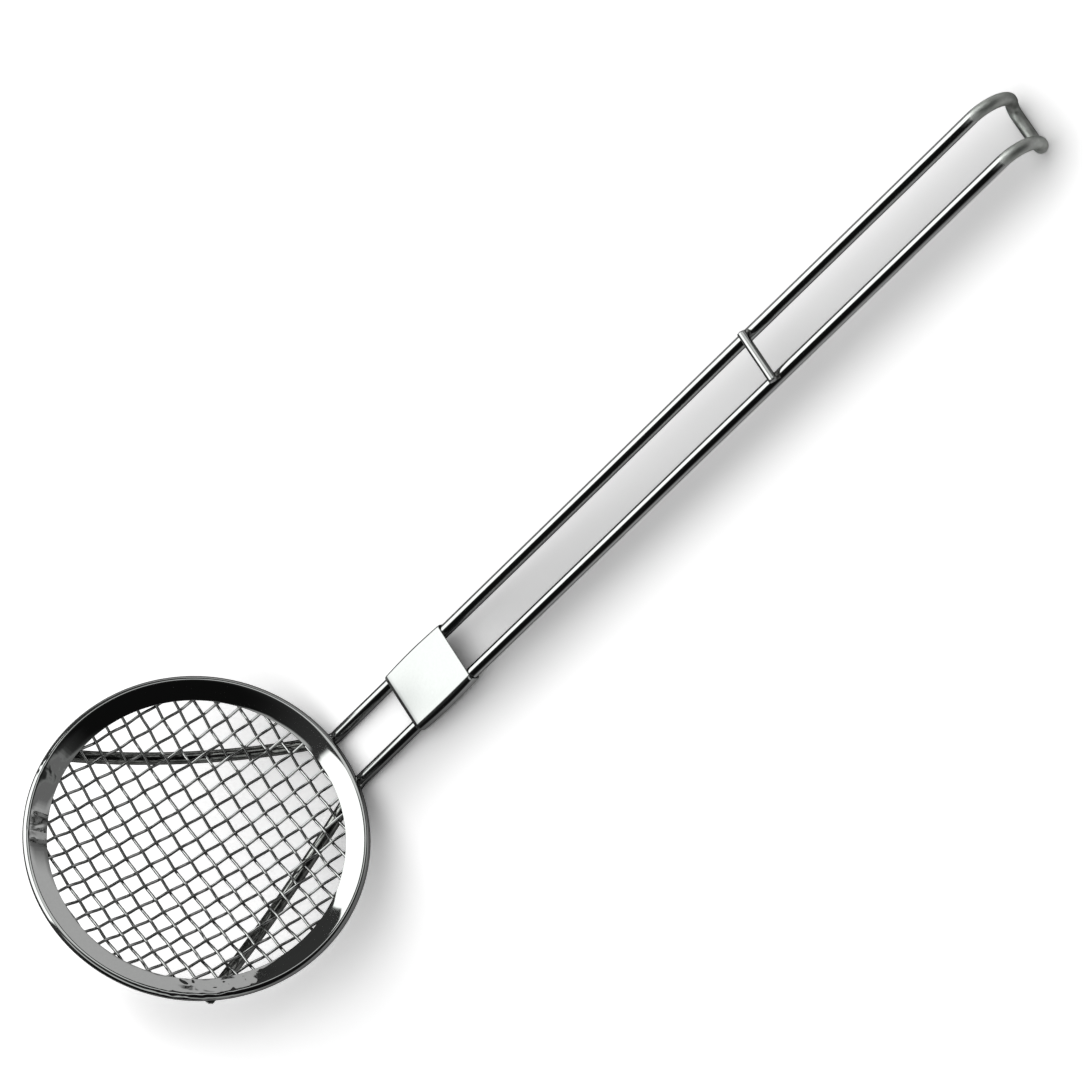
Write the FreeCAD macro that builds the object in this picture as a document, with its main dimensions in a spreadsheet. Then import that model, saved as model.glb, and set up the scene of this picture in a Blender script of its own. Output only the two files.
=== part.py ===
import FreeCAD, Part
import math
import os
import Sketcher
from FreeCAD import Placement, Rotation, Vector

# A wire skimmer: a shallow dish of woven crimped wire, clamped in a rim folded from sheet, on a
# handle bent from one wire. Millimetres and degrees.
#
# Basket frame: origin in the middle of the rim at the height of its fold, Z along the rim's axis,
# X towards the handle. Leg frame: X along the two legs, Z square to the plane they lie in.
# The finished skimmer is turned about Y until it lies on its two bends and on its hook.

SIZES = [
    ("rim_diameter", 135.0, "rim, over the fold"),
    ("rim_sheet", 0.6, "thickness of the strip that the rim is folded from"),
    ("rim_flap", 7.6, "width of each flap, from the fold's centre to the lip"),
    ("rim_slope", 26.5, "fall of the flaps towards the middle, which the dish carries on"),
    ("mesh_wire", 1.2, "diameter of a mesh wire"),
    ("count_across", 18, "wires that run across"),
    ("count_along", 18, "wires that run along the handle"),
    ("margin_across", 15.32, "rim_diameter less the way over the wires that run across, along the dish"),
    ("margin_along", 22.46, "the same for the wires that run along the handle"),
    ("shift_across", 0.13, "how far the wires that run across lie off centre"),
    ("shift_along", 1.25, "how far the wires that run along lie off centre"),
    ("mesh_turn", 3.0, "turn of the weave about the rim's axis"),
    ("mesh_grip", 2.0, "length of the wire ends between the flaps"),
    ("weave_clearance", 0.05, "gap between two mesh wires where they cross"),
    ("slot_clearance", 0.1, "gap between the weave and each flap"),
    ("handle_wire", 5.0, "diameter of the handle's wire"),
    ("leg_spacing", 20.2, "between the centre lines of the two legs"),
    ("leg_length", 386.6, "a leg, from its bend at the rim to the start of the hook"),
    ("leg_rise", 50.5, "angle of the legs above the plane of the rim"),
    ("bend_radius", 7.0, "centre line of the bend between a support and its leg"),
    ("support_splay", 26.5, "angle of each support off the handle's direction"),
    ("support_end", 62.6, "radius, under the far rim, at which the supports' arcs end"),
    ("support_tail", 3.0, "straight end of each support, beyond its arc"),
    ("seat_clearance", 0.05, "gap between the handle's wire and what is welded to it"),
    ("hook_radius", 10.3, "centre line of the hook"),
    ("hook_angle", 130.0, "turn of the hook"),
    ("corner_radius", 4.5, "centre line of the two corners of the hook's bar"),
    ("cross_wire", 3.6, "diameter of the cross wire"),
    ("cross_length", 22.5, "length of the cross wire"),
    ("cross_place", 259.1, "from the legs' bend to the cross wire"),
    ("plate_sheet", 0.5, "thickness of the plate"),
    ("plate_length", 34.2, "length of the plate along the legs"),
    ("plate_place", 38.5, "from the legs' bend to the plate's near edge"),
    ("plate_tuck", 1.0, "flat end of each edge of the plate, from under the middle of its leg"),
]

# Round forms that are many or long are drawn with flat sides, which keeps the model light
MESH_SIDES = 6
HANDLE_SIDES = 16
FOLD_CHORDS = 4
SLOT_CHORDS = 3
SETTLE_ROUNDS = 12

# Formulas that sketches and code share
PITCH_ACROSS = "((Sizes.rim_diameter - Sizes.margin_across) / (Sizes.count_across - 1))"
PITCH_ALONG = "((Sizes.rim_diameter - Sizes.margin_along) / (Sizes.count_along - 1))"
WEAVE_GAP = "(Sizes.mesh_wire + Sizes.weave_clearance)"
WEAVE_STEEPNESS = f"({WEAVE_GAP} / min({PITCH_ACROSS}; {PITCH_ALONG}))"
WEAVE_RISE = f"({WEAVE_GAP} / sqrt(1 - 2 * {WEAVE_STEEPNESS}^2))"
MESH_HALF = f"(({WEAVE_RISE} + Sizes.mesh_wire) / 2)"
SLOT_HALF = f"({MESH_HALF} + Sizes.slot_clearance)"
FOLD_RADIUS = f"({SLOT_HALF} + Sizes.rim_sheet)"
FOLD_REACH = f"(Sizes.rim_diameter / 2 - {FOLD_RADIUS})"


def fill_sheet(doc):
    sheet = doc.addObject("Spreadsheet::Sheet", "Sizes")
    for row, (alias, value, note) in enumerate(SIZES, start=1):
        sheet.set(f"A{row}", alias)
        sheet.set(f"B{row}", str(value))
        sheet.set(f"C{row}", note)
        sheet.setAlias(f"B{row}", alias)
    doc.recompute()
    return sheet


def value_of(sheet, formula):
    return float(sheet.evalExpression(formula))


def origin_part(body, role):
    return next(item for item in body.Origin.OriginFeatures if item.Role == role)


def new_sketch(body, role, name):
    sketch = body.newObject("Sketcher::SketchObject", name)
    sketch.AttachmentSupport = [(origin_part(body, role), "")]
    sketch.MapMode = "FlatFace"
    return sketch


def bind(sketch, constraint, formula):
    sketch.setExpression(f"Constraints[{constraint}]", formula)


# One side of the fold: a half circle drawn with flat chords, which the roll turns into cones
def draw_fold(sketch, count, radius, formula):
    ring = sketch.addGeometry(Part.Circle(Vector(), Vector(0, 0, 1), radius), True)
    sketch.addConstraint(Sketcher.Constraint("Coincident", ring, 3, -1, 1))
    bind(sketch, sketch.addConstraint(Sketcher.Constraint("Radius", ring, radius)), formula)
    turns = [math.pi * (index / count - 0.5) for index in range(count + 1)]
    points = [Vector(radius * math.cos(turn), radius * math.sin(turn), 0) for turn in turns]
    chords = []
    for start, end in zip(points, points[1:]):
        chords.append(sketch.addGeometry(Part.LineSegment(start, end)))
        sketch.addConstraint(Sketcher.Constraint("PointOnObject", chords[-1], 1, ring))
    sketch.addConstraint(Sketcher.Constraint("PointOnObject", chords[-1], 2, ring))
    for before, after in zip(chords, chords[1:]):
        sketch.addConstraint(Sketcher.Constraint("Coincident", before, 2, after, 1))
        sketch.addConstraint(Sketcher.Constraint("Equal", before, after))
    sketch.addConstraint(Sketcher.Constraint("PointOnObject", chords[0], 1, -2))
    sketch.addConstraint(Sketcher.Constraint("PointOnObject", chords[-1], 2, -2))
    return chords


def draw_flap(sketch, fold_line, fold_end, height, reach):
    line = sketch.addGeometry(Part.LineSegment(Vector(0, height, 0), Vector(-reach, height, 0)))
    sketch.addConstraint(Sketcher.Constraint("Coincident", line, 1, fold_line, fold_end))
    sketch.addConstraint(Sketcher.Constraint("Horizontal", line))
    return line


def draw_lip(sketch, first, second):
    start, end = (sketch.getPoint(line, 2) for line in (first, second))
    lip = sketch.addGeometry(Part.LineSegment(start, end))
    sketch.addConstraint(Sketcher.Constraint("Coincident", lip, 1, first, 2))
    sketch.addConstraint(Sketcher.Constraint("Coincident", lip, 2, second, 2))
    sketch.addConstraint(Sketcher.Constraint("Vertical", lip))


# The rim: a strip folded into a U and rolled into a ring. Its profile lies level in the sketch, and
# the sketch is tipped by the slope of the flaps.
def make_rim(doc, sheet):
    body = doc.addObject("PartDesign::Body", "Rim")
    body.Label = "rim"
    sketch = new_sketch(body, "XZ_Plane", "RimProfile")
    outer, inner = value_of(sheet, FOLD_RADIUS), value_of(sheet, SLOT_HALF)
    back = draw_fold(sketch, FOLD_CHORDS, outer, FOLD_RADIUS)
    slot = draw_fold(sketch, SLOT_CHORDS, inner, SLOT_HALF)
    top = draw_flap(sketch, back[-1], 2, outer, sheet.rim_flap)
    slot_top = draw_flap(sketch, slot[-1], 2, inner, sheet.rim_flap)
    slot_low = draw_flap(sketch, slot[0], 1, -inner, sheet.rim_flap)
    low = draw_flap(sketch, back[0], 1, -outer, sheet.rim_flap)
    draw_lip(sketch, top, slot_top)
    draw_lip(sketch, slot_low, low)
    sketch.addConstraint(Sketcher.Constraint("Vertical", top, 2, low, 2))
    reach = Sketcher.Constraint("DistanceX", top, 2, -1, 1, sheet.rim_flap)
    bind(sketch, sketch.addConstraint(reach), "Sizes.rim_flap")
    sketch.setExpression("AttachmentOffset.Base.x", FOLD_REACH)
    sketch.setExpression("AttachmentOffset.Rotation.Angle", "Sizes.rim_slope * 1 deg")
    ring = body.newObject("PartDesign::Revolution", "RimRoll")
    ring.Profile = sketch
    ring.ReferenceAxis = (origin_part(body, "Z_Axis"), [""])
    ring.Angle = 360
    return body


# The dish: a sphere that carries on the slope of the flaps
class Dish:
    def __init__(self, sheet):
        slope = math.radians(sheet.rim_slope)
        reach = value_of(sheet, FOLD_REACH)
        self.mouth = reach - sheet.rim_flap * math.cos(slope)
        self.radius = self.mouth / math.sin(slope)
        self.centre = self.radius * math.cos(slope) - sheet.rim_flap * math.sin(slope)
        self.lift = value_of(sheet, WEAVE_RISE) / 2
        self.half = value_of(sheet, MESH_HALF)

    def steepness(self, reach):
        return math.sqrt(self.radius**2 - reach**2) / self.radius

    def height(self, reach, off=0.0):
        level = self.steepness(reach)
        return self.centre - self.radius * level + off / level


# Wires keep their pitch along the dish, so seen from above they close up towards the rim
def wire_places(dish, count, pitch, shift):
    places = []
    for index in range(count):
        walk = (index - (count - 1) / 2) * pitch + shift
        places.append(dish.radius * math.sin(walk / dish.radius))
    return places


def crimped_points(sheet, dish, own, crossing, parity, along):
    end_reach = dish.mouth + sheet.mesh_grip
    tail = sheet.mesh_wire
    met = [(k, c) for k, c in enumerate(crossing) if math.hypot(own, c) < end_reach - tail / 2]
    stop = math.sqrt(end_reach**2 - own**2)
    levels = [(c, 1 if (k + parity) % 2 == 0 else -1) for k, c in met]
    first, last = levels[0], levels[-1]
    ends = [(min(-stop, first[0] - tail), first[1])]
    ends_far = [(max(stop, last[0] + tail), last[1])]
    points = []
    for place, level in ends + levels + ends_far:
        height = dish.height(math.hypot(own, place), level * dish.lift)
        flat = (place, own) if along else (own, place)
        points.append(Vector(flat[0], flat[1], height))
    return points


# A section's plane across the wire, with a corner of the section on top
def face_along(start, run):
    return Placement(start, Rotation(Vector(0, 0, 1), Vector(), run, "ZXY"))


def make_mesh_wire(doc, label, points):
    name = label.title().replace("_", "")
    path = doc.addObject("Part::Polygon", name + "Path")
    path.Nodes = points
    path.Close = False
    section = doc.addObject("Part::RegularPolygon", name + "Section")
    section.Polygon = MESH_SIDES
    section.setExpression("Circumradius", "Sizes.mesh_wire / 2")
    section.Placement = face_along(points[0], points[1] - points[0])
    wire = doc.addObject("Part::Sweep", name)
    wire.Label = label
    wire.Sections = [section]
    wire.Spine = (path, [])
    wire.Solid = True
    wire.Frenet = False
    wire.Transition = "Right corner"
    return wire


def make_mesh(doc, sheet, dish):
    count_across, count_along = int(sheet.count_across), int(sheet.count_along)
    pitch_across, pitch_along = value_of(sheet, PITCH_ACROSS), value_of(sheet, PITCH_ALONG)
    across = wire_places(dish, count_across, pitch_across, sheet.shift_across)
    along = wire_places(dish, count_along, pitch_along, sheet.shift_along)
    wires = []
    for index, place in enumerate(across):
        points = crimped_points(sheet, dish, place, along, index, False)
        wires.append(make_mesh_wire(doc, f"mesh_across_{index + 1:02d}", points))
    for index, place in enumerate(along):
        points = crimped_points(sheet, dish, place, across, index + 1, True)
        wires.append(make_mesh_wire(doc, f"mesh_along_{index + 1:02d}", points))
    return wires


# The handle's centre line. Each support is an arc in an upright plane: it touches the dish where it
# passes nearest the basket's axis, and the rim's lower lip on both sides of that.
class HandleLine:
    def __init__(self, sheet, dish):
        self.sheet = sheet
        self.thick = sheet.handle_wire / 2 + sheet.seat_clearance
        self.side = sheet.leg_spacing / 2
        self.splay = math.radians(sheet.support_splay)
        self.rise = math.radians(sheet.leg_rise)
        self.slope = math.radians(sheet.rim_slope)
        self.fold = value_of(sheet, FOLD_RADIUS)
        self.fold_reach = value_of(sheet, FOLD_REACH)
        fall = self.fold * math.cos(self.slope) + sheet.rim_flap * math.sin(self.slope)
        self.lip = dish.mouth + self.fold * math.sin(self.slope)
        self.seat = -fall - self.thick / math.cos(self.slope)
        self.along = Vector(math.cos(self.rise), 0, math.sin(self.rise))
        self.up = Vector(-math.sin(self.rise), 0, math.cos(self.rise))
        self.settle(dish)

    # The bend's place and the support's arc depend on each other, so they are found in rounds
    def settle(self, dish):
        self.corner_x = self.fold_reach
        self.tangent = self.sheet.bend_radius / 3
        for _ in range(SETTLE_ROUNDS):
            self.seat_support(dish)
            self.seat_leg()

    def seat_support(self, dish):
        sheet = self.sheet
        near = self.corner_x * math.cos(self.splay) - self.side * math.sin(self.splay)
        self.offset = self.corner_x * math.sin(self.splay) + self.side * math.cos(self.splay)
        low = dish.height(self.offset, -(dish.half + self.thick))
        half_chord = math.sqrt(self.lip**2 - self.offset**2)
        sag = self.seat - low
        self.arc_radius = (half_chord**2 + sag**2) / (2 * sag)
        self.arc_centre = low + self.arc_radius
        self.near_start = near - self.tangent
        depth = math.sqrt(self.arc_radius**2 - self.near_start**2)
        self.start_height = self.arc_centre - depth
        self.pitch = math.atan2(self.near_start, depth)
        self.corner_z = self.start_height + self.tangent * math.tan(self.pitch)

    def seat_leg(self):
        plan = math.cos(self.pitch)
        support = Vector(plan * math.cos(self.splay), -plan * math.sin(self.splay), math.sin(self.pitch))
        turn = support.getAngle(self.along)
        self.bend_tangent = self.sheet.bend_radius * math.tan(turn / 2)
        self.tangent = self.bend_tangent * plan
        self.support_dir = support
        rim_x = math.sqrt(self.fold_reach**2 - self.side**2)
        beside = self.fold + self.thick
        cut_in = 2 * max(0, self.sheet.bend_radius - beside) * (1 - math.cos(turn / 2))
        room = beside + cut_in + self.corner_z * math.cos(self.rise)
        self.corner_x = rim_x + room / math.sin(self.rise)

    def corner(self):
        return Vector(self.corner_x, self.side, self.corner_z)

    # A point of the support's arc, from its distance along the arc's plane
    def support_point(self, walk):
        x = walk * math.cos(self.splay) + self.offset * math.sin(self.splay)
        y = -walk * math.sin(self.splay) + self.offset * math.cos(self.splay)
        return Vector(x, y, self.arc_centre - math.sqrt(self.arc_radius**2 - walk**2))

    def leg_point(self, walk, side=0.0, height=0.0):
        start = Vector(self.corner_x, side, self.corner_z)
        return start + self.along * walk + self.up * height

    def hook_point(self, angle):
        radius = self.sheet.hook_radius
        walk = self.sheet.leg_length + radius * math.sin(angle)
        return self.leg_point(walk, self.side, -radius * (1 - math.cos(angle)))

    def bar_centre(self):
        angle = math.radians(self.sheet.hook_angle)
        radius, corner = self.sheet.hook_radius, self.sheet.corner_radius
        walk = self.sheet.leg_length + radius * math.sin(angle) + corner * math.cos(angle)
        return walk, radius * (1 - math.cos(angle)) + corner * math.sin(angle)

    # One half of the handle, from the cut end under the far rim to the hook's bar
    def half_edges(self):
        sheet = self.sheet
        far = -math.sqrt(sheet.support_end**2 - self.offset**2)
        arc_end = self.support_point(far)
        corner = self.corner()
        bend_in = corner - self.support_dir * self.bend_tangent
        bend_out = corner + self.along * self.bend_tangent
        middle = (self.along - self.support_dir).normalize()
        half_turn = self.support_dir.getAngle(self.along) / 2
        bend_mid = corner + middle * (sheet.bend_radius * (1 / math.cos(half_turn) - 1))
        angle = math.radians(sheet.hook_angle)
        hook_start, hook_mid, hook_end = (self.hook_point(angle * share) for share in (0, 0.5, 1))
        onward = self.along * math.cos(angle) - self.up * math.sin(angle)
        inward = Vector(0, -1, 0)
        round_off = sheet.corner_radius
        turn_end = hook_end + (onward + inward) * round_off
        turn_mid = hook_end + onward * (round_off * math.sqrt(0.5))
        turn_mid += inward * (round_off * (1 - math.sqrt(0.5)))
        support = Part.Arc(arc_end, self.support_point(far / 2), bend_in)
        heading = support.tangent(support.FirstParameter)[0]
        cut_end = arc_end - heading * sheet.support_tail
        return [
            Part.LineSegment(cut_end, arc_end).toShape(),
            support.toShape(),
            Part.Arc(bend_in, bend_mid, bend_out).toShape(),
            Part.LineSegment(bend_out, hook_start).toShape(),
            Part.Arc(hook_start, hook_mid, hook_end).toShape(),
            Part.Arc(hook_end, turn_mid, turn_end).toShape(),
        ]


def make_handle(doc, line):
    edges = line.half_edges()
    mirrored = [edge.mirror(Vector(), Vector(0, 1, 0)) for edge in edges]
    near = edges[-1].Vertexes[-1].Point
    bar = Part.makeLine(near, Vector(near.x, -near.y, near.z))
    path = doc.addObject("Part::Feature", "HandlePath")
    path.Shape = Part.Wire(edges + [bar] + mirrored[::-1])
    cut_end, arc_end = (vertex.Point for vertex in edges[0].Vertexes)
    section = doc.addObject("Part::RegularPolygon", "HandleSection")
    section.Polygon = HANDLE_SIDES
    section.setExpression("Circumradius", "Sizes.handle_wire / 2")
    section.Placement = face_along(cut_end, arc_end - cut_end)
    wire = doc.addObject("Part::Sweep", "HandleWire")
    wire.Label = "handle_wire"
    wire.Sections = [section]
    wire.Spine = (path, [])
    wire.Solid = True
    wire.Frenet = False
    return wire


def leg_frame(line, walk, height):
    turn = Rotation(Vector(0, 1, 0), -line.sheet.leg_rise)
    return Placement(line.leg_point(walk, 0.0, height), turn)


# The cross wire lies on top of both legs
def make_cross_wire(doc):
    wire = doc.addObject("Part::Cylinder", "CrossWire")
    wire.Label = "cross_wire"
    wire.setExpression("Radius", "Sizes.cross_wire / 2")
    wire.setExpression("Height", "Sizes.cross_length")
    return wire


def cross_wire_seat(sheet, line):
    height = line.thick + sheet.cross_wire / 2
    seat = leg_frame(line, sheet.cross_place, height)
    lay_down = Placement(Vector(0, sheet.cross_length / 2, 0), Rotation(Vector(1, 0, 0), 90))
    return seat.multiply(lay_down)


# The plate: a bare sheet wrapped round both legs, its edges meeting on the underside
def make_plate(doc, sheet):
    body = doc.addObject("PartDesign::Body", "NamePlate")
    body.Label = "name_plate"
    sketch = new_sketch(body, "YZ_Plane", "PlateProfile")
    inner = sheet.handle_wire / 2 + sheet.seat_clearance
    outer = inner + sheet.plate_sheet
    side = sheet.leg_spacing / 2
    inward = side - sheet.plate_tuck
    quarter = math.pi / 2
    arcs = {}
    for name, place, radius, start in (
        ("out_right", side, outer, -quarter),
        ("in_right", side, inner, -quarter),
        ("out_left", -side, outer, quarter),
        ("in_left", -side, inner, quarter),
    ):
        circle = Part.Circle(Vector(place, 0, 0), Vector(0, 0, 1), radius)
        arcs[name] = sketch.addGeometry(Part.ArcOfCircle(circle, start, start + math.pi))
    lines = {}
    for name, radius in (("out", outer), ("in", inner)):
        top = Part.LineSegment(Vector(side, radius, 0), Vector(-side, radius, 0))
        lines[name + "_top"] = sketch.addGeometry(top)
        for hand, sign in (("right", 1), ("left", -1)):
            low = Part.LineSegment(Vector(sign * side, -radius, 0), Vector(sign * inward, -radius, 0))
            lines[f"{name}_{hand}"] = sketch.addGeometry(low)
    for hand, sign in (("right", 1), ("left", -1)):
        edge = Part.LineSegment(Vector(sign * inward, -outer, 0), Vector(sign * inward, -inner, 0))
        lines["edge_" + hand] = sketch.addGeometry(edge)
    for skin in ("out", "in"):
        right, left = arcs[skin + "_right"], arcs[skin + "_left"]
        for line, point, arc, end in (
            (skin + "_top", 1, right, 2),
            (skin + "_top", 2, left, 1),
            (skin + "_right", 1, right, 1),
            (skin + "_left", 1, left, 2),
        ):
            sketch.addConstraint(Sketcher.Constraint("Tangent", lines[line], point, arc, end))
        for line in (skin + "_right", skin + "_left"):
            sketch.addConstraint(Sketcher.Constraint("Horizontal", lines[line]))
    for hand in ("right", "left"):
        edge = lines["edge_" + hand]
        sketch.addConstraint(Sketcher.Constraint("Coincident", edge, 1, lines["out_" + hand], 2))
        sketch.addConstraint(Sketcher.Constraint("Coincident", edge, 2, lines["in_" + hand], 2))
        sketch.addConstraint(Sketcher.Constraint("Vertical", edge))
        outer_arc, inner_arc = arcs["out_" + hand], arcs["in_" + hand]
        sketch.addConstraint(Sketcher.Constraint("Coincident", inner_arc, 3, outer_arc, 3))
    sketch.addConstraint(Sketcher.Constraint("PointOnObject", arcs["out_right"], 3, -1))
    sketch.addConstraint(Sketcher.Constraint("Equal", arcs["in_right"], arcs["in_left"]))
    symmetric = Sketcher.Constraint("Symmetric", arcs["out_right"], 3, arcs["out_left"], 3, -1, 1)
    sketch.addConstraint(symmetric)
    edge_ends = (lines["out_right"], 2, lines["out_left"], 2, -2)
    sketch.addConstraint(Sketcher.Constraint("Symmetric", *edge_ends))
    spread = Sketcher.Constraint("DistanceX", arcs["out_left"], 3, arcs["out_right"], 3, 2 * side)
    bind(sketch, sketch.addConstraint(spread), "Sizes.leg_spacing")
    gap = Sketcher.Constraint("DistanceX", lines["out_left"], 2, lines["out_right"], 2, 2 * inward)
    bind(sketch, sketch.addConstraint(gap), "Sizes.leg_spacing - 2 * Sizes.plate_tuck")
    inside = "Sizes.handle_wire / 2 + Sizes.seat_clearance"
    bore = sketch.addConstraint(Sketcher.Constraint("Radius", arcs["in_right"], inner))
    bind(sketch, bore, inside)
    skin = sketch.addConstraint(Sketcher.Constraint("Radius", arcs["out_right"], outer))
    bind(sketch, skin, inside + " + Sizes.plate_sheet")
    pad = body.newObject("PartDesign::Pad", "PlatePad")
    pad.Profile = sketch
    pad.setExpression("Length", "Sizes.plate_length")
    return body


# The skimmer lies on its two bends and on the hook's bar
def resting_turn(sheet, line):
    walk, depth = line.bar_centre()
    tilt = math.degrees(math.atan2(depth, walk - line.bend_tangent))
    return Rotation(Vector(0, 1, 0), sheet.leg_rise - tilt)


def place_all(parts, turn, seats):
    for part in parts:
        part.Placement = Placement(Vector(), turn).multiply(seats.get(part.Label, Placement()))
    box = FreeCAD.BoundBox()
    for part in parts:
        box.add(part.Shape.optimalBoundingBox(False, False))
    floor = Vector(-box.Center.x, -box.Center.y, -box.ZMin)
    for part in parts:
        part.Placement = Placement(floor, Rotation()).multiply(part.Placement)


def check(doc, parts):
    for item in doc.Objects:
        if "Invalid" in item.State or "Error" in item.State:
            raise RuntimeError(f"{item.Label} failed: {item.State}")
    for part in parts:
        if part.Shape.isNull() or not part.Shape.isValid() or len(part.Shape.Solids) != 1:
            raise RuntimeError(f"{part.Label} is not one valid solid")


def main():
    doc = FreeCAD.newDocument("WireSkimmer")
    sheet = fill_sheet(doc)
    dish = Dish(sheet)
    line = HandleLine(sheet, dish)
    rim = make_rim(doc, sheet)
    mesh = make_mesh(doc, sheet, dish)
    handle = make_handle(doc, line)
    cross = make_cross_wire(doc)
    plate = make_plate(doc, sheet)
    parts = [rim, handle, cross, plate] + mesh
    doc.recompute()
    weave = Placement(Vector(), Rotation(Vector(0, 0, 1), sheet.mesh_turn))
    seats = {wire.Label: weave for wire in mesh}
    seats[cross.Label] = cross_wire_seat(sheet, line)
    seats[plate.Label] = leg_frame(line, sheet.plate_place, 0.0)
    place_all(parts, resting_turn(sheet, line), seats)
    check(doc, parts)
    os.makedirs("parts", exist_ok=True)
    for part in parts:
        part.Shape.exportStep(f"parts/{part.Label}.step")
    print(f"{len(parts)} parts, corner {line.corner()}, support arc radius {line.arc_radius:.2f}")


main()
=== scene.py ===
import bpy
import math
import numpy as np
from mathutils import Matrix, Vector


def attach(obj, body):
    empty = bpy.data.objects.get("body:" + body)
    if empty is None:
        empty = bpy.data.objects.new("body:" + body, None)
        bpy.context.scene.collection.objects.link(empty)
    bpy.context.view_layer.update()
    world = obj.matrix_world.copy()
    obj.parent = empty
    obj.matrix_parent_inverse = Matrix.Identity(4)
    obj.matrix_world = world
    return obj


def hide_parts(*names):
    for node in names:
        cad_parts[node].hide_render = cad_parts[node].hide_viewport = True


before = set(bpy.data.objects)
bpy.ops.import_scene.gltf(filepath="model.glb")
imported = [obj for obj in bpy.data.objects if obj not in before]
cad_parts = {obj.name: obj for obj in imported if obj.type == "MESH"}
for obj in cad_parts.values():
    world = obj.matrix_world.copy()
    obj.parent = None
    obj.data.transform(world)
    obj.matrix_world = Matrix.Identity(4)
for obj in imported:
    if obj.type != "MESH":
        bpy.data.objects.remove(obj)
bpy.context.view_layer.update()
print("loaded the packed skimmer")

mm = 0.001

rim = {
    "diameter": 135 * mm,
    "sheet": 0.6 * mm,
    "flap": 7.6 * mm,
    "slope": math.radians(26.5),
    "slotHalf": 1.346 * mm,
    "lipRound": 0.2 * mm,
    "dents": ((240, 16, 1.0), (147, 4, 0.35), (124, 5, 0.5)),  # azimuth and width in degrees, depth
    "around": 240,
    "turnSteps": 14,
    "lipSteps": 4,
}


def rimMeasures():
    # the fold's size, and the ball that the dish is a cap of
    rim["fold"] = rim["slotHalf"] + rim["sheet"]
    rim["foldReach"] = rim["diameter"] / 2 - rim["fold"]
    rim["mouth"] = rim["foldReach"] - rim["flap"] * math.cos(rim["slope"])
    rim["dish"] = rim["mouth"] / math.sin(rim["slope"])
    rim["dishCentre"] = rim["dish"] * math.cos(rim["slope"]) - rim["flap"] * math.sin(rim["slope"])


rimMeasures()


def basketFrame():
    # where the basket lies and how it leans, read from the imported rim
    rimPoints = np.array([v.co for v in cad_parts["rim"].data.vertices])
    middle = (rimPoints.max(0) + rimPoints.min(0)) / 2
    axis = np.linalg.svd(rimPoints - middle, full_matrices=False)[2][2]
    axis = axis / math.hypot(axis[0], axis[2]) * np.sign(axis[2])
    xDir = np.array([axis[2], 0, -axis[0]])
    level = (rimPoints - middle) @ axis
    across = (rimPoints - middle) @ xDir
    fold = across > across.max() - 0.01 * mm
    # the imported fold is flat-sided: its outermost edge lies half a right angle below the flaps' line
    foldLevel = level[fold].mean() + rim["fold"] * math.sin(math.pi / 4 - rim["slope"])
    centre = middle + axis * foldLevel + xDir * (across.max() + across.min()) / 2
    turned = Matrix((xDir, (0, 1, 0), (axis[0], 0, axis[2]))).transposed().to_4x4()
    return Matrix.Translation(Vector(centre)) @ turned


basket = basketFrame()
print("basket stands at", [round(v, 4) for v in basket.translation])


def addPiece(name, verts, faces, material, nodes=()):
    mesh = bpy.data.meshes.new(name)
    mesh.from_pydata([tuple(v) for v in verts], [], faces)
    mesh.validate()
    mesh.polygons.foreach_set("use_smooth", [True] * len(mesh.polygons))
    piece = bpy.data.objects.new(name, mesh)
    bpy.context.scene.collection.objects.link(piece)
    piece.data.materials.append(material)
    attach(piece, "root")
    if nodes:
        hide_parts(*nodes)
    return piece


endSteps = (0.15, 0.55, 0.85)  # how far each ring of a rounded end has turned


def carryFrames(points):
    # one side direction for each point, carried along the line without twist
    points = np.asarray(points, float)
    runs = np.gradient(points, axis=0)
    runs /= np.linalg.norm(runs, axis=1)[:, None]
    side = np.cross(runs[0], (0.0, 0.0, 1.0))
    if np.linalg.norm(side) < 0.1:
        side = np.cross(runs[0], (0.0, 1.0, 0.0))
    sides = []
    for run in runs:
        side = side - run * (side @ run)
        side = side / np.linalg.norm(side)
        sides.append(side)
    sides = np.array(sides)
    return points, runs, sides, np.cross(runs, sides)


def bands(rings, around):
    # four-sided faces between one ring of vertices and the next
    faces = []
    for r in range(rings - 1):
        low, high = r * around, (r + 1) * around
        for k in range(around):
            n = (k + 1) % around
            faces.append((low + k, low + n, high + n, high + k))
    return faces


def tube(points, radius, around, endRound):
    # a round wire along a line of points; its ends are closed with rings that round off
    points, runs, sides, ups = carryFrames(points)
    angles = np.linspace(0, 2 * math.pi, around, endpoint=False)
    rings = []

    def ring(at, k, reach):
        spokes = np.cos(angles)[:, None] * sides[k] + np.sin(angles)[:, None] * ups[k]
        rings.append(at + reach * spokes)

    def endRing(k, heading, lean):
        inset = endRound * (1 - math.sin(lean * math.pi / 2))
        ring(points[k] + heading * inset, k, radius - endRound * (1 - math.cos((1 - lean) * math.pi / 2)))

    for lean in endSteps:
        endRing(0, runs[0], lean)
    for k in range(len(points)):
        at = points[k]
        if k == 0:
            at = at + runs[0] * endRound
        if k == len(points) - 1:
            at = at - runs[-1] * endRound
        ring(at, k, radius)
    for lean in endSteps[::-1]:
        endRing(-1, -runs[-1], lean)
    verts = np.concatenate(rings)
    faces = bands(len(rings), around)
    last = (len(rings) - 1) * around
    faces.append(tuple(range(around))[::-1])
    faces.append(tuple(range(last, last + around)))
    return verts, faces


def paint(piece, name, values, around):
    # a number for each point of the line, passed on to the ring of vertices round it
    extra = len(endSteps)
    order = [0] * extra + list(range(len(values))) + [len(values) - 1] * extra
    layer = piece.data.attributes.new(name, "FLOAT", "POINT")
    layer.data.foreach_set("value", np.repeat(np.asarray(values, float)[order], around))


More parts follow.
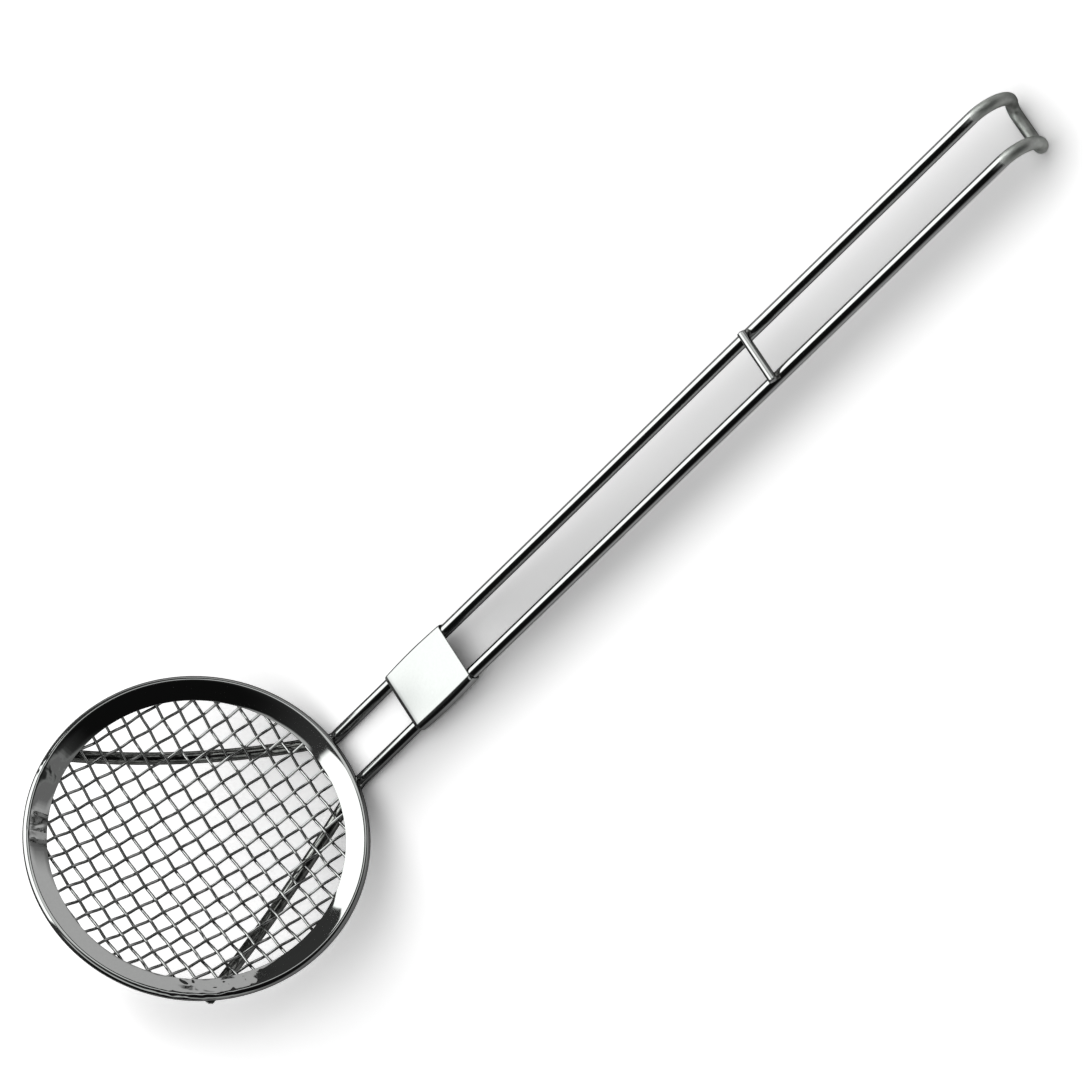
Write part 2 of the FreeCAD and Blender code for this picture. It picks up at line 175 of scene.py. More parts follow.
def toWorld(points):
    return [basket @ Vector(p) for p in points]


def steel(name, base, rough, detail, tint=0.15):
    material = bpy.data.materials.new(name)
    material.use_nodes = True
    nodes, links = material.node_tree.nodes, material.node_tree.links
    shader = nodes["Principled BSDF"]
    shader.inputs["Metallic"].default_value = 1.0
    shader.inputs["Specular Tint"].default_value = (tint, tint, tint, 1)
    where = nodes.new("ShaderNodeTexCoord")
    grain = nodes.new("ShaderNodeTexNoise")
    grain.inputs["Scale"].default_value = detail["grainScale"]
    grain.inputs["Detail"].default_value = 4
    links.new(where.outputs["Object"], grain.inputs["Vector"])
    tone = nodes.new("ShaderNodeValToRGB")
    tone.color_ramp.elements[0].position = 0.35
    tone.color_ramp.elements[1].position = 0.65
    tone.color_ramp.elements[0].color = (*[c * (1 - detail["toneSpread"]) for c in base], 1)
    tone.color_ramp.elements[1].color = (*base, 1)
    links.new(grain.outputs["Fac"], tone.inputs["Fac"])
    links.new(tone.outputs["Color"], shader.inputs["Base Color"])
    shine = nodes.new("ShaderNodeMapRange")
    shine.inputs["To Min"].default_value = rough[0]
    shine.inputs["To Max"].default_value = rough[1]
    links.new(grain.outputs["Fac"], shine.inputs["Value"])
    links.new(shine.outputs["Result"], shader.inputs["Roughness"])
    wave = nodes.new("ShaderNodeTexNoise")
    wave.inputs["Scale"].default_value = detail["waveScale"]
    wave.inputs["Detail"].default_value = 2
    links.new(where.outputs["Object"], wave.inputs["Vector"])
    bump = nodes.new("ShaderNodeBump")
    bump.inputs["Strength"].default_value = detail["waveStrength"]
    bump.inputs["Distance"].default_value = detail["waveDepth"]
    links.new(wave.outputs["Fac"], bump.inputs["Height"])
    links.new(bump.outputs["Normal"], shader.inputs["Normal"])
    return material


rimSteel = steel("rimSteel", (0.47, 0.475, 0.47), (0.03, 0.07),
                 {"grainScale": 900, "toneSpread": 0.04, "waveScale": 60, "waveStrength": 0.1,
                  "waveDepth": 0.4 * mm})
dentRipple = {"scale": 125, "detail": 1, "distortion": 0.7, "strength": 1, "depth": 1.2 * mm}


def addDents(material):
    # small ripples in the polish where the flap was spot welded
    nodes, links = material.node_tree.nodes, material.node_tree.links
    shader = nodes["Principled BSDF"]
    where = nodes.new("ShaderNodeTexCoord")
    ripple = nodes.new("ShaderNodeTexNoise")
    ripple.inputs["Scale"].default_value = dentRipple["scale"]
    ripple.inputs["Detail"].default_value = dentRipple["detail"]
    ripple.inputs["Distortion"].default_value = dentRipple["distortion"]
    links.new(where.outputs["Object"], ripple.inputs["Vector"])
    mask = nodes.new("ShaderNodeAttribute")
    mask.attribute_name = "dent"
    height = nodes.new("ShaderNodeMath")
    height.operation = "MULTIPLY"
    links.new(ripple.outputs["Fac"], height.inputs[0])
    links.new(mask.outputs["Fac"], height.inputs[1])
    bump = nodes.new("ShaderNodeBump")
    bump.inputs["Strength"].default_value = dentRipple["strength"]
    bump.inputs["Distance"].default_value = dentRipple["depth"]
    links.new(height.outputs["Value"], bump.inputs["Height"])
    links.new(shader.inputs["Normal"].links[0].from_socket, bump.inputs["Normal"])
    links.new(bump.outputs["Normal"], shader.inputs["Normal"])


addDents(rimSteel)
polishedWire = steel("polishedWire", (0.46, 0.465, 0.46), (0.06, 0.12),
                     {"grainScale": 700, "toneSpread": 0.06, "waveScale": 90, "waveStrength": 0.06,
                      "waveDepth": 0.4 * mm})

wirePatches = {
    # darkest and palest tone, then the roughness from and to
    "satin": ((0.44, 0.455, 0.435), (0.6, 0.615, 0.59), (0.45, 0.55)),
    # a darker mottled tone painted on the supports and the hook's bar
    "darkMottle": ((0.16, 0.163, 0.156), (0.38, 0.385, 0.37), (0.12, 0.22)),
}


def wireSteel():
    # mirror legs, a satin hook, and a darker mottled tone painted on the supports and the hook's bar
    material = steel("handleSteel", (0.46, 0.465, 0.46), (0.04, 0.08),
                     {"grainScale": 700, "toneSpread": 0.06, "waveScale": 90, "waveStrength": 0.05,
                      "waveDepth": 0.4 * mm})
    nodes, links = material.node_tree.nodes, material.node_tree.links
    shader = nodes["Principled BSDF"]
    where = nodes.new("ShaderNodeTexCoord")
    blotch = nodes.new("ShaderNodeTexNoise")
    blotch.inputs["Scale"].default_value = 190
    blotch.inputs["Detail"].default_value = 5
    blotch.inputs["Roughness"].default_value = 0.65
    links.new(where.outputs["Object"], blotch.inputs["Vector"])
    for name, (dark, pale, rough) in wirePatches.items():
        mask = nodes.new("ShaderNodeAttribute")
        mask.attribute_name = name
        tone = nodes.new("ShaderNodeValToRGB")
        tone.color_ramp.elements[0].position = 0.38
        tone.color_ramp.elements[1].position = 0.62
        tone.color_ramp.elements[0].color = (*dark, 1)
        tone.color_ramp.elements[1].color = (*pale, 1)
        links.new(blotch.outputs["Fac"], tone.inputs["Fac"])
        mix = nodes.new("ShaderNodeMix")
        mix.data_type = "RGBA"
        links.new(mask.outputs["Fac"], mix.inputs["Factor"])
        links.new(shader.inputs["Base Color"].links[0].from_socket, mix.inputs["A"])
        links.new(tone.outputs["Color"], mix.inputs["B"])
        links.new(mix.outputs["Result"], shader.inputs["Base Color"])
        shine = nodes.new("ShaderNodeMapRange")
        shine.inputs["To Min"].default_value = rough[0]
        shine.inputs["To Max"].default_value = rough[1]
        links.new(blotch.outputs["Fac"], shine.inputs["Value"])
        blend = nodes.new("ShaderNodeMix")
        links.new(mask.outputs["Fac"], blend.inputs["Factor"])
        links.new(shader.inputs["Roughness"].links[0].from_socket, blend.inputs["A"])
        links.new(shine.outputs["Result"], blend.inputs["B"])
        links.new(blend.outputs["Result"], shader.inputs["Roughness"])
    return material


handleSteel = wireSteel()
meshSteel = steel("meshSteel", (0.46, 0.465, 0.46), (0.1, 0.2),
                  {"grainScale": 900, "toneSpread": 0.1, "waveScale": 300, "waveStrength": 0.1,
                   "waveDepth": 0.2 * mm})
plateSteel = steel("plateSteel", (0.428, 0.435, 0.43), (0.05, 0.09),
                   {"grainScale": 900, "toneSpread": 0.03, "waveScale": 40, "waveStrength": 0.05,
                    "waveDepth": 0.3 * mm}, tint=1)
weldSteel = steel("weldSteel", (0.3, 0.3, 0.29), (0.25, 0.4),
                  {"grainScale": 1500, "toneSpread": 0.4, "waveScale": 900, "waveStrength": 0.4,
                   "waveDepth": 0.3 * mm})
print("steels mixed")


def rimProfile():
    # outside of the U from the lower lip over the fold to the upper lip, then back along the slot
    steps, lipSteps = rim["turnSteps"], rim["lipSteps"]
    fold, inner, flap, lip = rim["fold"], rim["slotHalf"], -rim["flap"], rim["lipRound"]
    turn = [math.pi * (k / steps - 0.5) for k in range(steps + 1)]
    lean = [math.pi / 2 * k / lipSteps for k in range(lipSteps + 1)]
    points = [(flap + lip * (1 - math.sin(a)), -fold + lip * (1 - math.cos(a))) for a in lean[::-1]]
    points += [(flap * share, -fold) for share in (0.75, 0.5, 0.25)]
    points += [(fold * math.cos(a), fold * math.sin(a)) for a in turn]
    points += [(flap * share, fold) for share in (0.25, 0.5, 0.75)]
    points += [(flap + lip * (1 - math.sin(a)), fold - lip * (1 - math.cos(a))) for a in lean]
    points += [(flap + lip * (1 - math.cos(a)), inner + lip * (1 - math.sin(a))) for a in lean]
    points += [(flap * 0.5, inner)]
    points += [(inner * math.cos(a), inner * math.sin(a)) for a in turn[::-1]]
    points += [(flap * 0.5, -inner)]
    points += [(flap + lip * (1 - math.sin(a)), -inner - lip * (1 - math.cos(a))) for a in lean]
    cosine, sine = math.cos(rim["slope"]), math.sin(rim["slope"])
    return [(rim["foldReach"] + x * cosine - z * sine, x * sine + z * cosine) for x, z in points]


def makeRim():
    profile = rimProfile()
    count, around = len(profile), rim["around"]
    verts = []
    for k in range(around):
        angle = 2 * math.pi * k / around
        for reach, height in profile:
            verts.append((reach * math.cos(angle), reach * math.sin(angle), height))
    faces = []
    for k in range(around):
        for p in range(count):
            here, there = k * count, (k + 1) % around * count
            q = (p + 1) % count
            faces.append((here + p, there + p, there + q, here + q))
    piece = addPiece("rimRing", toWorld(verts), faces, rimSteel, ["rim"])
    # the flap is dented where the supports are spot welded under it
    dents = []
    for k in range(around):
        azimuth = 360 * k / around
        dents.append(sum(depth * math.exp(-((azimuth - at) / wide) ** 2)
                         for at, wide, depth in rim["dents"]))
    layer = piece.data.attributes.new("dent", "FLOAT", "POINT")
    layer.data.foreach_set("value", np.repeat(dents, count))


makeRim()
print("rim rolled")


weave = {
    "wire": 1.2 * mm,
    "pitchAcross": 7.04 * mm,
    "pitchAlong": 6.62 * mm,
    "count": 18,
    "shiftAcross": 0.13 * mm,
    "shiftAlong": 1.25 * mm,
    "turn": math.radians(3.0),
    "grip": 2.0 * mm,
    "clearance": 0.05 * mm,
    "endRound": 0.15 * mm,
    "around": 10,
    "stepsPerPitch": 7,
}


def dishHeight(reach, off):
    # height of the dish's skin at a distance from the middle, moved off it squarely by off
    level = math.sqrt(rim["dish"] ** 2 - reach**2) / rim["dish"]
    return rim["dishCentre"] - rim["dish"] * level + off / level


def wirePlaces(pitch, shift):
    walks = [(k - (weave["count"] - 1) / 2) * pitch + shift for k in range(weave["count"])]
    return [rim["dish"] * math.sin(walk / rim["dish"]) for walk in walks]


def crimpedLine(own, crossing, parity, lift):
    # places along the wire with the crimp's height there, smooth between crossings
    endReach = rim["mouth"] + weave["grip"]
    stop = math.sqrt(endReach**2 - own**2)
    met = [(c, 1 if (k + parity) % 2 == 0 else -1) for k, c in enumerate(crossing)
           if math.hypot(own, c) < endReach - weave["wire"] / 2]
    line = [(min(-stop, met[0][0] - weave["wire"]), met[0][1] * lift)]
    steps = weave["stepsPerPitch"]
    for (a, sign), (b, _) in zip(met, met[1:]):
        for s in range(steps):
            share = s / steps
            line.append((a + (b - a) * share, sign * lift * math.cos(math.pi * share)))
    line.append((met[-1][0], met[-1][1] * lift))
    line.append((max(stop, met[-1][0] + weave["wire"]), met[-1][1] * lift))
    return line


def makeWeave():
    gap = weave["wire"] + weave["clearance"]
    lift = gap / math.sqrt(1 - 2 * (gap / weave["pitchAlong"]) ** 2) / 2
    across = wirePlaces(weave["pitchAcross"], weave["shiftAcross"])
    along = wirePlaces(weave["pitchAlong"], weave["shiftAlong"])
    spin = Matrix.Rotation(weave["turn"], 4, "Z")
    pieces = []
    for kind, places, crossing, start in (("across", across, along, 0), ("along", along, across, 1)):
        for index, own in enumerate(places):
            line = []
            for walk, off in crimpedLine(own, crossing, index + start, lift):
                flat = (walk, own) if kind == "along" else (own, walk)
                line.append(basket @ spin @ Vector((*flat, dishHeight(math.hypot(own, walk), off))))
            verts, faces = tube(line, weave["wire"] / 2, weave["around"], weave["endRound"])
            node = f"mesh_{kind}_{index + 1:02d}"
            name = f"{kind}Wire{index + 1:02d}"
            pieces.append(addPiece(name, verts, faces, meshSteel, [node]))
    return pieces


meshWires = makeWeave()
print("wove", len(meshWires), "wires")


handle = {
    "wire": 5 * mm,
    "spacing": 20.2 * mm,
    "length": 386.6 * mm,
    "rise": math.radians(50.5),
    "bend": 7 * mm,
    "splay": math.radians(26.5),
    "supportEnd": 62.6 * mm,
    "tail": 3 * mm,
    "clearance": 0.05 * mm,
    "hook": 10.3 * mm,
    "hookTurn": math.radians(130),
    "corner": 4.5 * mm,
    "endRound": 0.4 * mm,
    "slotClearance": 0.1 * mm,  # between a mesh wire's end and the rim's slot
    "rounds": 12,
    "satinLead": 0.5 * mm,  # the satin starts this far before the hook
    "satinFade": 2.5 * mm,
    "darkMottleReach": 2 * mm,  # the darker mottled tone ends this far past the bend
    "darkMottleFade": 5 * mm,
    "barDarkMottle": 0.35,
    "barHalf": 4 * mm,
    "around": 32,
}


def settleSupports():
    # the support's arc and the bend depend on each other, so they are found in rounds
    thick = handle["wire"] / 2 + handle["clearance"]
    side, splay, rise, slope = handle["spacing"] / 2, handle["splay"], handle["rise"], rim["slope"]
    along = np.array([math.cos(rise), 0, math.sin(rise)])
    meshHalf = rim["slotHalf"] - handle["slotClearance"]
    lip = rim["mouth"] + rim["fold"] * math.sin(slope)
    seat = -(rim["fold"] * math.cos(slope) + rim["flap"] * math.sin(slope)) - thick / math.cos(slope)
    cornerX, tangent = rim["foldReach"], handle["bend"] / 3
    for _ in range(handle["rounds"]):
        near = cornerX * math.cos(splay) - side * math.sin(splay)
        offset = cornerX * math.sin(splay) + side * math.cos(splay)
        low = dishHeight(offset, -(meshHalf + thick))
        sag = seat - low
        radius = (lip**2 - offset**2 + sag**2) / (2 * sag)
        start = near - tangent
        depth = math.sqrt(radius**2 - start**2)
        pitch = math.atan2(start, depth)
        cornerZ = low + radius - depth + tangent * math.tan(pitch)
        plan = math.cos(pitch)
        support = np.array([plan * math.cos(splay), -plan * math.sin(splay), math.sin(pitch)])
        turn = math.acos(support @ along)
        bendTangent = handle["bend"] * math.tan(turn / 2)
        tangent = bendTangent * plan
        beside = rim["fold"] + thick
        cutIn = 2 * max(0, handle["bend"] - beside) * (1 - math.cos(turn / 2))
        room = beside + cutIn + cornerZ * math.cos(rise)
        cornerX = math.sqrt(rim["foldReach"] ** 2 - side**2) + room / math.sin(rise)
    handle.update(cornerX=cornerX, cornerZ=cornerZ, offset=offset, arc=radius, arcCentre=low + radius,
                  supportDir=support, along=along, bendTangent=bendTangent, nearStart=start, turn=turn)


def bendPoints(start, heading, toward, turn, radius, steps):
    # points of a round bend that leaves along heading and turns toward another direction
    normal = toward - heading * (heading @ toward)
    normal = normal / np.linalg.norm(normal)
    centre = start + normal * radius
    points = []
    for k in range(1, steps + 1):
        a = turn * k / steps
        points.append(centre + radius * (heading * math.sin(a) - normal * math.cos(a)))
    return points


def handleLine():
    # the middle of the handle's wire: support, bend, leg, hook and half the bar, then mirrored
    side, along = handle["spacing"] / 2, handle["along"]
    splay, offset = handle["splay"], handle["offset"]
    up = np.array([-along[2], 0, along[0]])

    def supportPoint(walk):
        x = walk * math.cos(splay) + offset * math.sin(splay)
        y = -walk * math.sin(splay) + offset * math.cos(splay)
        return np.array([x, y, handle["arcCentre"] - math.sqrt(handle["arc"] ** 2 - walk**2)])

    far = -math.sqrt(handle["supportEnd"] ** 2 - offset**2)
    arc = [supportPoint(walk) for walk in np.linspace(far, handle["nearStart"], 48)]
    heading = (arc[1] - arc[0]) / np.linalg.norm(arc[1] - arc[0])
    line = [arc[0] - heading * handle["tail"]] + arc
    corner = np.array([handle["cornerX"], side, handle["cornerZ"]])
    bendIn = corner - handle["supportDir"] * handle["bendTangent"]
    line += bendPoints(bendIn, handle["supportDir"], along, handle["turn"], handle["bend"], 10)
    legStart = corner + along * handle["bendTangent"]
    legEnd = corner + along * handle["length"]
    line += [legStart + (legEnd - legStart) * share for share in np.linspace(0.02, 1, 60)]
    angle = handle["hookTurn"]
    onward = along * math.cos(angle) - up * math.sin(angle)
    hook = bendPoints(legEnd, along, -up, angle, handle["hook"], 22)
    line += hook
    inward = np.array([0, -1.0, 0])
    line += bendPoints(hook[-1], onward, inward, math.pi / 2, handle["corner"], 12)
    end = line[-1]
    bar = [np.array([end[0], y, end[2]]) for y in np.linspace(end[1] * 0.8, 0, 4)]
    half = line + bar
    mirrored = [p * np.array([1, -1, 1]) for p in half[:-1]][::-1]
    return half + mirrored


settleSupports()


def legFrame(along, off, height):
    # a place on the legs: along them from the bend, off the middle, over their plane
    up = np.array([-handle["along"][2], 0, handle["along"][0]])
    corner = np.array([handle["cornerX"], 0, handle["cornerZ"]])
    return corner + handle["along"] * along + np.array([0, off, 0]) + up * height


def makeHandle():
    line = handleLine()
    verts, faces = tube(toWorld(line), handle["wire"] / 2, handle["around"], handle["endRound"])
    piece = addPiece("handleWire", verts, faces, handleSteel, ["handle_wire"])
    satin, darkMottle = [], []
    for point in line:
        past = point - legFrame(0, 0, 0)
        walk = past @ handle["along"]
        onHook = (walk - handle["length"] + handle["satinLead"]) / handle["satinFade"]
        satin.append(min(1, max(0, onHook)))
        # the supports, and part of the bar, are painted the darker mottled tone
        supportShare = min(1, max(0, (handle["darkMottleReach"] - past[0]) / handle["darkMottleFade"]))
        onBar = walk > handle["length"] and abs(point[1]) < handle["barHalf"]
        darkMottle.append(max(supportShare, handle["barDarkMottle"] * onBar))
    paint(piece, "satin", satin, handle["around"])
    paint(piece, "darkMottle", darkMottle, handle["around"])


makeHandle()
print("handle bent: bend at", round(handle["cornerX"], 5), round(handle["cornerZ"], 5))


cross = {
    "wire": 3.6 * mm,
    "length": 22.5 * mm,
    "place": 259.1 * mm,
    "endRound": 0.5 * mm,
    "around": 28,
}


def makeCrossWire():
    height = (handle["wire"] + cross["wire"]) / 2 + handle["clearance"]
    half = cross["length"] / 2
    line = [legFrame(cross["place"], off, height) for off in np.linspace(-half, half, 9)]
    verts, faces = tube(toWorld(line), cross["wire"] / 2, cross["around"], cross["endRound"])
    addPiece("crossWire", verts, faces, polishedWire, ["cross_wire"])


makeCrossWire()
print("cross wire laid")


plate = {
    "sheet": 0.5 * mm,
    "length": 34.2 * mm,
    "place": 38.5 * mm,
    "tuck": 1 * mm,
    "pillow": 0.55 * mm,
    "topShare": 0.25,  # how much of the pillow the top keeps
    "topPoints": 14,
    "fold": 0.55,  # below 1 the folds are squarer than round
    "foldAngles": (-90, -82, -72, -60, -46, -30, -15, 0, 15, 30, 46, 60, 72, 82, 88, 90),
    "edge": 0.12 * mm,
    "press": 0.12,  # share of the sheet's thickness
    "pressLength": 0.06,  # share of the plate's length
    "stations": 24,
}


def plateSkin(radius, share, pillow):
    # the plate's section at one skin: tucked edge, round a leg, over the top, round the other leg
    side = handle["spacing"] / 2
    swell = pillow * math.sin(math.pi * share)
    points = [(side - plate["tuck"], -radius)]
    turn = []
    for a in np.radians(plate["foldAngles"]).tolist():
        out, rise = math.cos(a) ** plate["fold"], math.copysign(abs(math.sin(a)) ** plate["fold"], a)
        turn.append(((radius + swell) * out, radius * rise))
    points += [(side + out, rise) for out, rise in turn]
    for off in np.linspace(side, -side, plate["topPoints"])[1:-1]:
        points.append((off, radius + plate["topShare"] * swell * (1 - (off / side) ** 2)))
    points += [(-side - out, rise) for out, rise in turn[::-1]]
    points.append((-side + plate["tuck"], -radius))
    return points


def makePlate():
    inner = handle["wire"] / 2 + handle["clearance"]
    edge = plate["edge"] / plate["length"]
    shares = [0, edge] + list(np.linspace(0, 1, plate["stations"])[1:-1]) + [1 - edge, 1]
    verts = []
    for index, share in enumerate(shares):
        trim = plate["edge"] if index in (0, len(shares) - 1) else 0
        # the sheet is pressed down on the legs at its ends
        nearEnd = max(0, 1 - min(share, 1 - share) / plate["pressLength"])
        press = plate["press"] * plate["sheet"] * nearEnd**2
        outer = plateSkin(inner + plate["sheet"] - trim - press, share, plate["pillow"])
        lining = plateSkin(inner + trim, share, plate["pillow"])
        for off, height in outer + lining[::-1]:
            verts.append(legFrame(plate["place"] + share * plate["length"], off, height))
    count = len(outer) * 2
    faces = bands(len(shares), count)
    half = count // 2
    last = (len(shares) - 1) * count
    for k in range(half - 1):
        faces.append((k + 1, k, count - 1 - k, count - 2 - k))
        faces.append((last + k, last + k + 1, last + count - 2 - k, last + count - 1 - k))
    addPiece("namePlate", toWorld(verts), faces, plateSteel, ["name_plate"])


makePlate()
print("plate wrapped round the legs")


weld = {
    "size": (1.3 * mm, 1.5 * mm, 0.9 * mm),
    "beside": 0.42,  # off the cross wire's middle, as a share of its thickness
    "uneven": 0.12,
    "seed": 7,
    "rings": 10,
    "around": 16,
}


def makeWeld(name, place, seed):
    # a small uneven bead, flattened to size
    rings, around = weld["rings"], weld["around"]
    rough = np.random.default_rng(seed)
    verts = []
    for r in range(rings + 1):
        lean = math.pi * r / rings
        for k in range(around):
            angle = 2 * math.pi * k / around
            ripple = 1 + weld["uneven"] * rough.standard_normal() * math.sin(lean)
            ball = (math.sin(lean) * math.cos(angle), math.sin(lean) * math.sin(angle), math.cos(lean))
            point = Vector([share * half for share, half in zip(ball, weld["size"])]) * ripple
            verts.append(basket @ (Vector(place) + point))
    addPiece(name, verts, bands(rings + 1, around), weldSteel)


def makeWelds():
    height = handle["wire"] / 2
    for hand, off in (("Near", -1), ("Far", 1)):
        walk = cross["place"] + cross["wire"] * weld["beside"]
        place = legFrame(walk, off * handle["spacing"] / 2, height)
        makeWeld("crossWeld" + hand, place, weld["seed"] + off)


makeWelds()
print("welds set")


camera = {
    "place": (-0.56218, -0.7379, 2.3497),
    "right": (0.8476, -0.5219, 0.096),
    "down": (-0.4455, -0.7981, -0.4057),
    "lens": 215.5,
    "sensor": 36,
    "clipEnd": 20,
}


def makeCamera():
    # placed from the middle of the rim, in the basket's own directions
    lens = bpy.data.cameras.new("camera")
    lens.lens = camera["lens"]
    lens.sensor_width = camera["sensor"]
    lens.clip_end = camera["clipEnd"]
    eye = bpy.data.objects.new("camera", lens)
    right = Vector(camera["right"]).normalized()
    up = -Vector(camera["down"])
    up = (up - right * up.dot(right)).normalized()
    stand = Matrix((right, up, right.cross(up))).transposed().to_4x4()
    eye.matrix_world = basket @ Matrix.Translation(camera["place"]) @ stand
    bpy.context.scene.collection.objects.link(eye)
    bpy.context.scene.camera = eye


makeCamera()
print("camera placed")

studio = {
    "sunFrom": (-0.11, 0.49, 0.865),
    "sunAngle": math.radians(116),
    "sunStrength": 2.4,
    "fill": 0.22,
}

table = {
    "half": 6.0,
    "seen": 1.4,  # how bright the camera sees it
    # the dark tone is painted shade that only the steel sees
    "dark": 0.28,
    "pale": 0.85,
    # where the steel sees it turn pale, in metres along each axis
    "pastBasket": ("X", -0.13, -0.09),
    "nearSide": ("Y", 0.005, -0.015),
    "farSide": ("Y", 0.025, 0.05),
    "front": ("Y", -0.09, -0.03),
}

dome = {
    "radius": 2.6,
    "colour": (0.98, 1, 0.986, 1),
    # each card's glow, then where it starts and is full, in shares of the radius
    "panel": {"glow": 2.4, "edgeX": (-0.34, -0.12), "edgeZ": (0.2, 0.44), "above": (0, 0.01),
              "y": (0.2, 0.24), "x": (-0.7, -0.6), "slant": 1.45, "beside": (0.02, 0.06)},
    "side": {"glow": 1.1, "x": (0.2, 0.42), "z": (0.2, 0.4), "y": (0.16, 0.24), "yEnd": (0.44, 0.36)},
    "front": {"glow": 0.5, "x": (-0.32, -0.26), "xEnd": (0.16, 0.1), "y": (-0.12, -0.2)},
    "crown": {"glow": 0.8, "x": (-0.38, -0.3), "xEnd": (0.12, 0.02), "y": (0.16, 0.08),
              "z": (0.66, 0.78)},
    # the dark rest: a low band and a high one, each with its own tones
    "low": {"z": (0.01, 0.12), "y": (-0.15, 0.1), "tones": (0.3, 0.05), "top": 0.06},
    "high": {"z": (0.05, 0.26), "y": (-0.3, 0.2), "tones": (0.008, 0.06)},
}

flags = {
    # near and far edges, off the outline that the camera sees
    "high": 17 * mm,
    "legNear": -17.5 * mm,
    "legFar": 23 * mm,
    "plateFar": -1 * mm,
    "legStart": -12 * mm,
    "gapStart": 74 * mm,
    "endReach": 26 * mm,
    "legSpots": 9,
    "rimNear": -7.7 * mm,
    "rimFar": 9.3 * mm,
    "azimuths": (-10, -161, -5),
    "rimShares": ((10, 25, 45, 60, 85, 110, 135, 160), (0, 0.3, 0.8, 1.1, 1.35, 1.6, 1.5, 0)),
}


def stagePiece(name, verts, faces, material):
    mesh = bpy.data.meshes.new(name)
    mesh.from_pydata(verts, [], faces)
    piece = bpy.data.objects.new(name, mesh)
    bpy.context.scene.collection.objects.link(piece)
    mesh.materials.append(material)
    return piece


def plainMaterial(name):
    # an empty material, for the stage
    material = bpy.data.materials.new(name)
    material.use_nodes = True
    nodes, links = material.node_tree.nodes, material.node_tree.links
    nodes.remove(nodes["Principled BSDF"])
    return material, nodes, links


def grey(tone):
    return (tone, tone, tone, 1)


def makeFloor():
    # white table; the camera sees it a little brighter than the steel does
    white, nodes, links = plainMaterial("whiteTable")
    rays = nodes.new("ShaderNodeLightPath")
    tone = nodes.new("ShaderNodeMix")
    tone.data_type = "RGBA"
    tone.inputs["B"].default_value = grey(table["seen"])
    links.new(rays.outputs["Is Camera Ray"], tone.inputs["Factor"])
    # painted shade: for the steel's reflections only, the table is painted darker round the basket and
    # along the far side of the handle
    where = nodes.new("ShaderNodeTexCoord")
    split = nodes.new("ShaderNodeSeparateXYZ")
    links.new(where.outputs["Object"], split.inputs["Vector"])

    def fade(axis, start, stop):
        step = nodes.new("ShaderNodeMapRange")
        step.inputs["From Min"].default_value = start
        step.inputs["From Max"].default_value = stop
        links.new(split.outputs[axis], step.inputs["Value"])
        return step

    pastBasket, nearSide = fade(*table["pastBasket"]), fade(*table["nearSide"])
    farSide, front = fade(*table["farSide"]), fade(*table["front"])
    beside = nodes.new("ShaderNodeMath")
    beside.operation = "MAXIMUM"
    links.new(nearSide.outputs["Result"], beside.inputs[0])
    links.new(farSide.outputs["Result"], beside.inputs[1])
    links.new(front.outputs["Result"], nearSide.inputs["To Max"])
    links.new(beside.outputs["Value"], pastBasket.inputs["To Max"])
    paintedTableShade = nodes.new("ShaderNodeMix")
    paintedTableShade.data_type = "RGBA"
    paintedTableShade.inputs["A"].default_value = grey(table["dark"])
    paintedTableShade.inputs["B"].default_value = grey(table["pale"])
    links.new(pastBasket.outputs["Result"], paintedTableShade.inputs["Factor"])
    links.new(paintedTableShade.outputs["Result"], tone.inputs["A"])
    matt = nodes.new("ShaderNodeBsdfDiffuse")
    links.new(tone.outputs["Result"], matt.inputs["Color"])
    links.new(matt.outputs["BSDF"], nodes["Material Output"].inputs["Surface"])
    half = table["half"]
    corners = [(-half, -half, 0), (half, -half, 0), (half, half, 0), (-half, half, 0)]
    stagePiece("floor", corners, [(0, 1, 2, 3)], white)


def makeSun():
    # lights the table only; what the steel mirrors is the dome
    lamp = bpy.data.lights.new("sun", "SUN")
    lamp.angle = studio["sunAngle"]
    lamp.energy = studio["sunStrength"]
    sun = bpy.data.objects.new("sun", lamp)
    sun.rotation_euler = Vector(studio["sunFrom"]).to_track_quat("Z", "Y").to_euler()
    sun.visible_glossy = False
    bpy.context.scene.collection.objects.link(sun)


def makeWorld():
    world = bpy.data.worlds.new("studioWorld")
    world.use_nodes = True
    nodes, links = world.node_tree.nodes, world.node_tree.links
    fill = nodes["Background"]
    fill.inputs["Color"].default_value = (1, 1, 1, 1)
    fill.inputs["Strength"].default_value = studio["fill"]
    white = nodes.new("ShaderNodeBackground")
    white.inputs["Color"].default_value = (1, 1, 1, 1)
    rays = nodes.new("ShaderNodeLightPath")
    mix = nodes.new("ShaderNodeMixShader")
    links.new(rays.outputs["Is Camera Ray"], mix.inputs["Fac"])
    links.new(fill.outputs["Background"], mix.inputs[1])
    links.new(white.outputs["Background"], mix.inputs[2])
    links.new(mix.outputs["Shader"], nodes["World Output"].inputs["Surface"])
    bpy.context.scene.world = world


def hide(piece, shadow):
    piece.visible_camera = False
    piece.visible_diffuse = False
    piece.visible_transmission = False
    piece.visible_shadow = shadow


